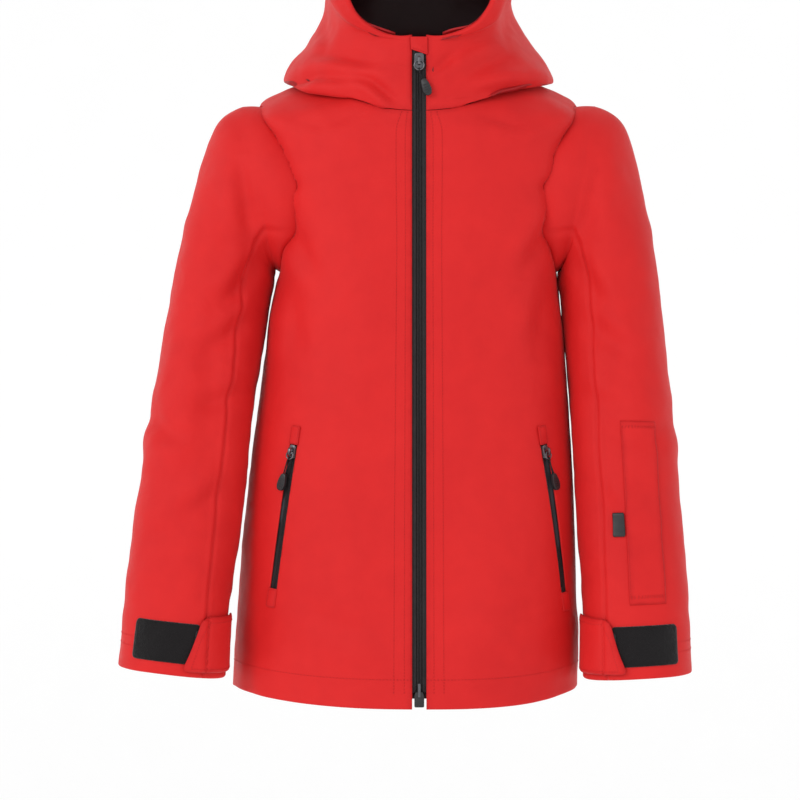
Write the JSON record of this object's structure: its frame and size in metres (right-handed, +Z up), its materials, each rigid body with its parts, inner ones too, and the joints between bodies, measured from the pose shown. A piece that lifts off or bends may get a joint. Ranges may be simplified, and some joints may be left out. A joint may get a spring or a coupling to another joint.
{
  "type": "ski jacket",
  "caption": "Child's padded ski jacket with hood, full-length front zip, hand pockets and hook-and-loop cuff tabs, hanging from its neck loop.",
  "frame": {"origin": "top of the hanger loop inside the back of the neck", "axes": "+Z up, -Y out of the front, +X to the wearer's left"},
  "size_m": [0.5447, 0.2359, 0.8902],
  "materials": {
    "red_shell": "matte fine weave",
    "red_lining": "matte",
    "black_cloth": "matte",
    "grey_mesh": "matte mesh",
    "wadding": "soft fibre",
    "zip_tape": "fine woven",
    "zip_coil": "satin",
    "loop_pile": "looped pile",
    "hook_strip": "hooked",
    "black_cord": "braided",
    "dark_metal": "black satin",
    "moulded_black": "moulded satin"
  },
  "bodies": {
    "jacket": {"back": "red_shell", "back_lining": "black_cloth", "body_padding": "wadding", "hanger_loop": "black_cloth", "left_collar": "red_shell", "left_front": "red_shell", "left_front_lining": "black_cloth", "left_pocket_bag": "grey_mesh", "left_pocket_coil": "zip_coil", "left_pocket_tape": "zip_tape", "left_zip_coil": "zip_coil", "left_zip_tape": "zip_tape", "right_collar": "red_shell", "right_front": "red_shell", "right_front_lining": "black_cloth", "right_pocket_bag": "grey_mesh", "right_pocket_coil": "zip_coil", "right_pocket_tape": "zip_tape", "right_zip_coil": "zip_coil", "right_zip_tape": "zip_tape", "storm_flap": "red_lining", "zip_box": "dark_metal", "zip_garage": "red_shell", "zip_pin": "dark_metal"},
    "hood": {"hood_centre_panel": "red_shell", "hood_lining": "red_lining", "left_hood_panel": "red_shell", "right_hood_panel": "red_shell"},
    "main_slider": {"main_slider": "dark_metal"},
    "main_pull": {"main_pull_ring": "dark_metal", "main_pull_cord": "black_cord", "main_pull_tab": "moulded_black"},
    "left_sleeve": {"left_cuff_patch": "loop_pile", "left_sleeve_lining": "black_cloth", "left_sleeve_padding": "wadding", "left_under_sleeve": "red_shell", "left_upper_sleeve": "red_shell", "sleeve_pocket_flap": "red_shell", "sleeve_pocket_tab": "black_cloth"},
    "left_cuff_tab": {"left_cuff_tab": "red_shell", "left_cuff_hooks": "hook_strip"},
    "left_pocket_slider": {"left_pocket_slider": "dark_metal"},
    "left_pocket_pull": {"left_pocket_pull_ring": "dark_metal", "left_pocket_pull_cord": "black_cord", "left_pocket_pull_tab": "moulded_black"},
    "right_sleeve": {"right_cuff_patch": "loop_pile", "right_sleeve_lining": "black_cloth", "right_sleeve_padding": "wadding", "right_under_sleeve": "red_shell", "right_upper_sleeve": "red_shell"},
    "right_cuff_tab": {"right_cuff_tab": "red_shell", "right_cuff_hooks": "hook_strip"},
    "right_pocket_slider": {"right_pocket_slider": "dark_metal"},
    "right_pocket_pull": {"right_pocket_pull_ring": "dark_metal", "right_pocket_pull_cord": "black_cord", "right_pocket_pull_tab": "moulded_black"}
  },
  "joints": [
    {"name": "hood_back", "type": "hinge", "parent": "jacket", "child": "hood", "pos_m": [0, 0.0684, 0.03], "axis": [-1, 0, 0], "range_deg": [0, 70]},
    {"name": "left_sleeve_raise", "type": "hinge", "parent": "jacket", "child": "left_sleeve", "pos_m": [0.1545, -0.0506, -0.1185], "axis": [0, -1, 0], "range_deg": [0, 60]},
    {"name": "right_sleeve_raise", "type": "hinge", "parent": "jacket", "child": "right_sleeve", "pos_m": [-0.1545, -0.0506, -0.1185], "axis": [0, 1, 0], "range_deg": [0, 60]},
    {"name": "right_cuff_tab_open", "type": "hinge", "parent": "right_sleeve", "child": "right_cuff_tab", "pos_m": [-0.1768, -0.1045, -0.551], "axis": [0.069, 0.1191, 0.9905], "range_deg": [0, 45]},
    {"name": "left_cuff_tab_open", "type": "hinge", "parent": "left_sleeve", "child": "left_cuff_tab", "pos_m": [0.1511, -0.1045, -0.5515], "axis": [0.01, -0.119, -0.9928], "range_deg": [0, 45]},
    {"name": "main_zip", "type": "slide", "parent": "jacket", "child": "main_slider", "axis": [0, 0.0536, 0.9986], "range_m": [-0.57, 0]},
    {"name": "main_pull_swing", "type": "hinge", "parent": "main_slider", "child": "main_pull", "pos_m": [0, -0.13495, -0.00466], "axis": [-1, 0, 0], "range_deg": [0, 120]},
    {"name": "left_pocket_zip", "type": "slide", "parent": "jacket", "child": "left_pocket_slider", "axis": [-0.1392, -0.083, 0.9868], "range_m": [-0.1272, 0]},
    {"name": "left_pocket_pull_swing", "type": "hinge", "parent": "left_pocket_slider", "child": "left_pocket_pull", "pos_m": [0.12181, -0.12837, -0.37273], "axis": [-0.7012, -0.6954, -0.1575], "range_deg": [0, 120]},
    {"name": "right_pocket_zip", "type": "slide", "parent": "jacket", "child": "right_pocket_slider", "axis": [0.1411, -0.0261, 0.9896], "range_m": [-0.1225, 0]},
    {"name": "right_pocket_pull_swing", "type": "hinge", "parent": "right_pocket_slider", "child": "right_pocket_pull", "pos_m": [-0.1217, -0.13187, -0.37273], "axis": [-0.8249, 0.5496, 0.1321], "range_deg": [0, 120]}
  ]
}
